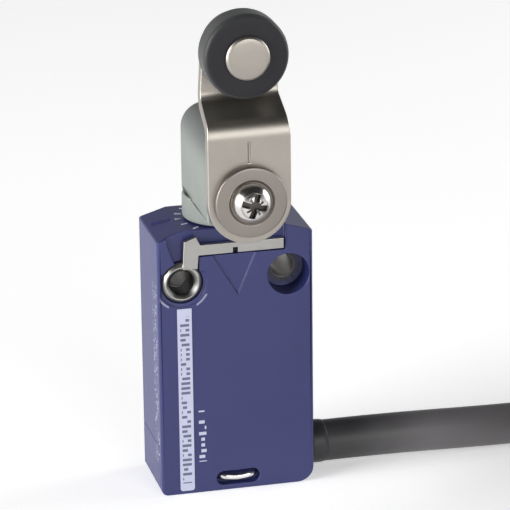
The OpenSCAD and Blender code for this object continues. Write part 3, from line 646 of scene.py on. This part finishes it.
finishes["cable_jacket"] = drawn_sheath()
finishes["black_plastic"] = moulded("black_nylon", (0.014, 0.014, 0.018), 0.38)
finishes["rubber"] = moulded("black_rubber", (0.012, 0.012, 0.012), 0.62)
finishes["cream_plastic"] = moulded("cream_thermoset", (0.55, 0.5, 0.38), 0.45)
finishes["yellow_plastic"] = moulded("yellow_nylon", (0.7, 0.6, 0.08), 0.4)
finishes["resin"] = moulded("cast_resin", (0.015, 0.015, 0.02), 0.2, 1.5, 0.05)
finishes["board"] = moulded("glass_fibre_board", (0.03, 0.16, 0.06), 0.35)
finishes["white_film"] = moulded("white_film", (0.50, 0.52, 0.68), 0.4, 0.1, 0.004, 0.02)
finishes["core_insulation"] = moulded("core_insulation", core_colours["blue"], 0.4)
floor_paint = new_paint("pale_floor")
floor.data.materials.append(floor_paint.finish(
    Base_Color=floor_paint.blend(floor_paint.noise(120, 2), (0.9, 0.9, 0.9), (0.93, 0.93, 0.93)),
    Roughness=0.9, Specular_IOR_Level=0.1, Emission_Color=(1, 1, 1, 1), Emission_Strength=0.42))
print(len(finishes), "finishes")

# %% [markdown]
# ## Rounded copies of machined shapes
# The frame's meshes have the right shape and perfectly sharp edges, which no real casting
# or stamping has. A copy is merged, its flat faces are made whole and cut into better
# triangles, and a bevel rounds every edge that is sharper than a set angle. The bevel's own
# faces are noted before their mark is taken off: the vertices that lie inside them get 1 in
# an attribute named edge, which the finishes read for rubbed paint and bright corners.
# Weighted normals then keep the large flat faces evenly shaded up to their soft edges.


# %% Round the edges of a copy
def edit(piece, select="SELECT"):
    select_only(piece)
    bpy.ops.object.mode_set(mode="EDIT")
    bpy.ops.mesh.select_all(action=select)


def done():
    bpy.ops.object.mode_set(mode="OBJECT")


def apply_all(piece):
    select_only(piece)
    for name in [m.name for m in piece.modifiers]:
        bpy.ops.object.modifier_apply(modifier=name)


def round_edges(piece, width_mm, segments=3, angle=32):
    """Bevels the sharp edges and writes the edge attribute."""
    piece.data.materials.clear()
    for _ in range(2):
        piece.data.materials.append(None)
    bevel = piece.modifiers.new("soft_edges", "BEVEL")
    bevel.width = width_mm * MM
    bevel.segments = segments
    bevel.limit_method = "ANGLE"
    bevel.angle_limit = math.radians(angle)
    bevel.use_clamp_overlap = False
    bevel.material = 1
    bevel.face_strength_mode = "FSTR_ALL"
    bevel.loop_slide = False
    apply_all(piece)
    mesh = piece.data
    on_face = {v for p in mesh.polygons if p.material_index != 1 for v in p.vertices}
    marks = mesh.attributes.new("edge", "FLOAT", "POINT")
    for v in range(len(mesh.vertices)):
        marks.data[v].value = 0.0 if v in on_face else 1.0
    for face in mesh.polygons:
        face.material_index = 0
    mesh.materials.clear()
    select_only(piece)
    bpy.ops.object.shade_smooth_by_angle(angle=math.radians(40))
    even = piece.modifiers.new("even_shading", "WEIGHTED_NORMAL")
    even.keep_sharp = True
    even.use_face_influence = True
    apply_all(piece)
    return piece


def copy_of(node, name):
    """A merged copy of a frame mesh, with its flat faces in well shaped triangles."""
    piece = bpy.data.objects.new(name, nodes[node].data.copy())
    bpy.context.scene.collection.objects.link(piece)
    for key in list(piece.keys()):
        del piece[key]
    edit(piece)
    bpy.ops.mesh.remove_doubles(threshold=0.001 * MM)
    bpy.ops.mesh.dissolve_limited(angle_limit=math.radians(0.6))
    bpy.ops.mesh.quads_convert_to_tris(quad_method="BEAUTY", ngon_method="BEAUTY")
    bpy.ops.mesh.normals_make_consistent(inside=False)
    done()
    piece.data.materials.clear()
    return piece


def rounded_copy(node, name, width_mm, segments=3, finish=None):
    """A copy with soft edges, which takes the place of its frame node."""
    piece = round_edges(copy_of(node, name), width_mm, segments)
    piece.data.materials.append(finish or finishes[slot_of[node]])
    print(name, len(piece.data.polygons), "faces")
    return place(piece, body_of[node], slot_of[node], node)


rounded_copy("body_housing", "housing_shell", 0.2)
rounded_copy("connection_block", "cable_block", 0.2)
rounded_copy("head_housing", "head_casting", 0.45, 4)
rounded_copy("head_cap", "rear_cap", 0.15)
rounded_copy("lever_plate", "roller_lever", 0.22)
rounded_copy("lock_lever", "locking_lever", 0.14, finish=lock_finish)
rounded_copy("cable_boot", "moulded_boot", 0.12)
tie = rounded_copy("coil_tie", "coil_strap", 0.25)

# %% [markdown]
# ## Turned pieces
# The roller, its pin, the washer and the screw are all turned on a lathe or headed in a
# die, so each is a circle that is pushed along its axis and made wider or narrower at every
# step, as a lathe tool would. The same function makes them all: it starts with a circle,
# extrudes its edge loop from one radius to the next, and closes the shape at the axis or
# round a bore.


# %% Turn a profile
def turn(name, axis_z, profile, bore=False, sides=96):
    """A turned piece about an axis along Y at axis_z. profile is radius and y, in mm."""
    r, y = profile[0]
    bpy.ops.object.select_all(action="DESELECT")
    bpy.ops.mesh.primitive_circle_add(vertices=sides, radius=r * MM, fill_type="NOTHING",
                                      location=(0, y * MM, axis_z),
                                      rotation=(math.pi / 2, 0, 0))
    piece = bpy.context.object
    piece.name = name
    bpy.ops.object.transform_apply(location=True, rotation=True, scale=True)
    edit(piece)
    for next_r, next_y in profile[1:] + ([profile[0]] if bore else []):
        step = {"value": (0, (next_y - y) * MM, 0)}
        bpy.ops.mesh.extrude_region_move(TRANSFORM_OT_translate=step)
        grow = next_r / r
        bpy.ops.transform.resize(value=(grow, 1, grow),
                                 center_override=(0, next_y * MM, axis_z))
        r, y = next_r, next_y
    if not bore:
        bpy.ops.mesh.select_all(action="DESELECT")
        bpy.ops.mesh.select_non_manifold()
        bpy.ops.mesh.edge_face_add()
    bpy.ops.mesh.select_all(action="SELECT")
    bpy.ops.mesh.remove_doubles(threshold=0.0005 * MM)
    bpy.ops.mesh.normals_make_consistent(inside=False)
    done()
    return piece


def dress(piece, node, width_mm, segments=3, angle=25, finish=None):
    """Rounds a turned piece and puts it in the place of its frame node."""
    round_edges(piece, width_mm, segments, angle)
    piece.data.materials.append(finish or finishes[slot_of[node]])
    print(piece.name, len(piece.data.polygons), "faces")
    return place(piece, body_of[node], slot_of[node], node)


def extent_y(node):
    """Where a node starts and ends along Y, in millimetres."""
    low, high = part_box(node)
    return low.y / MM, high.y / MM


def radius_of(node):
    low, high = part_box(node)
    return (high.x - low.x) / 2 / MM


# %% [markdown]
# ## Roller and pin
# The roller is black nylon with flat faces and a well rounded rim. Its tread is painted a
# little lighter than its faces, as a painted reflection, by a mask from the distance to its axis.
# The pin's front head is a wide, slightly crowned disc that keeps the roller on, and its
# tail is riveted over behind the lever.

# %% Turn the roller and its pin
front, back = extent_y("roller")
roller_r = radius_of("roller")
disc_front, tail_back = extent_y("roller_pin")
disc_r = radius_of("roller_pin")
RIM = 0.9
BORE_R = 2.06


def nylon_painted_sheen():
    paint = new_paint("nylon_painted_sheen")
    grain = paint.noise(0.2, 3)
    around = paint.axis("X") ** 2 + (paint.axis("Z") - roller_at.z / MM) ** 2
    tread = paint.ramp(around, (roller_r - 0.8) ** 2, roller_r ** 2)
    tone = paint.blend(paint.noise(3, 4), (0.011, 0.010, 0.014), (0.018, 0.017, 0.021))
    # painted reflection: the tread is painted lighter than the faces
    tone = paint.blend(tread, tone, (0.045, 0.047, 0.047))
    rough = 0.5 + grain * 0.1 - tread * 0.12
    return paint.finish(Base_Color=tone, Roughness=rough, Specular_IOR_Level=0.3,
                        Normal=paint.bump(grain, 0.01, 0.5))


roller_finish = nylon_painted_sheen()
roller = turn("roller_tyre", roller_at.z, [
    (BORE_R, front), (roller_r - RIM, front), (roller_r - 0.3 * RIM, front + 0.3 * RIM),
    (roller_r, front + RIM), (roller_r, back - RIM),
    (roller_r - 0.3 * RIM, back - 0.3 * RIM), (roller_r - RIM, back), (BORE_R, back)],
    bore=True, sides=128)
dress(roller, "roller", 0.35, 4, 15, roller_finish)
neck_back = disc_front + 0.9
upper_back = tail_back - 0.9
pin = turn("roller_axle", roller_at.z, [
    (0.9, disc_front), (disc_r - 1.1, disc_front + 0.03), (disc_r - 0.4, disc_front + 0.12),
    (disc_r, disc_front + 0.42), (disc_r, neck_back), (2.0, neck_back), (2.0, upper_back),
    (3.0, upper_back), (2.75, upper_back + 0.55), (2.1, tail_back - 0.05), (0.7, tail_back)])
dress(pin, "roller_pin", 0.06, 2)

# %% [markdown]
# ## Washer
# A thick washer spreads the screw's force over the lever's slot. Its rim is rounded, and a
# flat dish sinks round the screw's head, where the head's shadow gathers.

# %% Turn the washer
washer_front, lever_front = extent_y("lever_washer")
washer_r = radius_of("lever_washer")
screw_front, screw_back = extent_y("lever_screw")
head_r = radius_of("lever_screw")
dish_y = washer_front + 0.5
washer = turn("clamp_washer", shaft_at.z, [
    (2.1, dish_y), (head_r + 0.3, dish_y), (head_r + 0.75, washer_front),
    (washer_r - 0.5, washer_front), (washer_r - 0.12, washer_front + 0.14),
    (washer_r, washer_front + 0.5), (washer_r, lever_front - 0.2),
    (washer_r - 0.1, lever_front), (2.1, lever_front)], bore=True)
dress(washer, "lever_washer", 0.06, 2, finish=washer_finish)

# %% [markdown]
# ## Screw
# The screw has a domed head with a cross recess and four fine lines between its arms. The
# dome is turned. The recess is cut by a boolean with a cross whose arms narrow towards the
# bottom, as the punch that forms it does, so the flanks catch the light. The bottom of the
# recess is painted dark, as painted shade, and is rougher.


# %% Turn and punch the screw
def wedge(name, half_length, half_width, depth, angle, taper):
    """One bar of the punch. It narrows towards its inner end, and stands out of the head."""
    bpy.ops.object.select_all(action="DESELECT")
    bpy.ops.mesh.primitive_cube_add(size=1)
    bar = bpy.context.object
    bar.name = name
    bar.scale = (2 * half_length * MM, 2 * depth * MM, 2 * half_width * MM)
    bpy.ops.object.transform_apply(location=False, rotation=False, scale=True)
    edit(bar, "DESELECT")
    mesh = bmesh.from_edit_mesh(bar.data)
    for face in mesh.faces:
        face.select_set(face.normal.y > 0.9)
    bpy.ops.transform.resize(value=(taper, 1, taper * 0.8))
    done()
    bar.rotation_euler = (0, math.radians(angle), 0)
    bar.location = (0, screw_front * MM, shaft_at.z)
    bpy.ops.object.transform_apply(location=True, rotation=True, scale=True)
    return bar


def carve(piece, cutter):
    cut = piece.modifiers.new("cut", "BOOLEAN")
    cut.operation = "DIFFERENCE"
    cut.solver = "EXACT"
    cut.object = cutter
    apply_all(piece)
    bpy.data.objects.remove(cutter)


dome = dish_y - 1 - screw_front
dome_r = (head_r ** 2 + dome ** 2) / (2 * dome)
reach = math.asin(head_r / dome_r)
crown = [(dome_r * math.sin(reach * t), screw_front + dome_r * (1 - math.cos(reach * t)))
         for t in (0.04, 0.15, 0.3, 0.45, 0.6, 0.75, 0.9, 1.0)]
screw = turn("cross_screw", shaft_at.z, crown + [
    (head_r, dish_y), (1.7, dish_y), (1.7, screw_back - 0.9), (0.8, screw_back)])
for k in range(2):
    carve(screw, wedge("arm", 2.3, 0.55, 1.9, 15 + 90 * k, 0.45))
    carve(screw, wedge("line", 1.75, 0.16, 1.0, 60 + 90 * k, 0.5))


def punched_steel():
    """Bright steel, painted dark down in the recess as painted shade, and rougher there."""
    paint = new_paint("punched_steel")
    grain = paint.noise(0.4, 3)
    around = paint.axis("X") ** 2 + (paint.axis("Z") - shaft_at.z / MM) ** 2
    # painted shade: the bottom of the cross recess is painted dark
    recess_shade = paint.ramp(paint.axis("Y"), screw_front + 0.45, screw_front + 1.2) * (around < 2.5 ** 2)
    tone = paint.blend(grain, (0.62, 0.60, 0.58), (0.74, 0.72, 0.70))
    tone = paint.blend(recess_shade * 0.9, tone, (0.05, 0.045, 0.04))
    return paint.finish(Base_Color=tone, Roughness=0.16 + recess_shade * 0.3 + grain * 0.06, Metallic=1.0,
                        Normal=paint.bump(grain, 0.006, 0.4))


dress(screw, "lever_screw", 0.05, 2, 30, punched_steel())

# %% [markdown]
# ## Retaining clip
# A bent spring wire shows in the small window near the body's foot. The frame holds it as a
# twelve-sided tube, which one level of subdivision turns into a round wire.

# %% Smooth the clip
clip = copy_of("block_clip", "spring_clip")
smooth = clip.modifiers.new("round", "SUBSURF")
smooth.levels = smooth.render_levels = 1
apply_all(clip)
bpy.ops.object.shade_smooth()
clip.data.materials.append(finishes["polished_steel"])
place(clip, "root", "polished_steel", "block_clip")
print(clip.name, len(clip.data.polygons), "faces")

# %% [markdown]
# ## Finishes for the rest
# The parts that stay as the frame has them, most of them inside, get the finish that the
# record names for them. The label strip gets a film of its own with a column of blocks.
# The five cores differ only in their colour.

# %% Give out the finishes
def printed_film():
    """The label strip: dull film with a column of small dark blocks that say nothing."""
    paint = new_paint("printed_film")
    x, z = paint.axis("X"), paint.axis("Z")
    low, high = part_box("label_strip")
    inside = between(x, low.x / MM + 0.5, high.x / MM - 0.5)
    inside = inside * between(z, low.z / MM + 1.5, high.z / MM - 1.5)
    blocks = printed_rows(paint, x, z, 0.95, 0.8) * inside
    tone = paint.blend(paint.noise(3, 3), (0.46, 0.48, 0.62), (0.54, 0.56, 0.72))
    tone = paint.blend(blocks * 0.9, tone, (0.07, 0.08, 0.16))
    return paint.finish(Base_Color=tone, Roughness=0.35 + blocks * 0.1,
                        Normal=paint.bump(paint.noise(0.5, 2), 0.01, 0.3))


for name, node in nodes.items():
    node.data.materials.clear()
    node.data.materials.append(finishes[slot_of[name]])
nodes["label_strip"].data.materials[0] = printed_film()
for core, colour in zip(core_pieces, core_colours.values()):
    core.data.materials.append(moulded(core.name + "_insulation", colour, 0.4))
for strand in strand_pieces:
    strand.data.materials.append(finishes["copper"])
cable.data.materials.append(finishes["cable_jacket"])
print("all pieces have a finish")
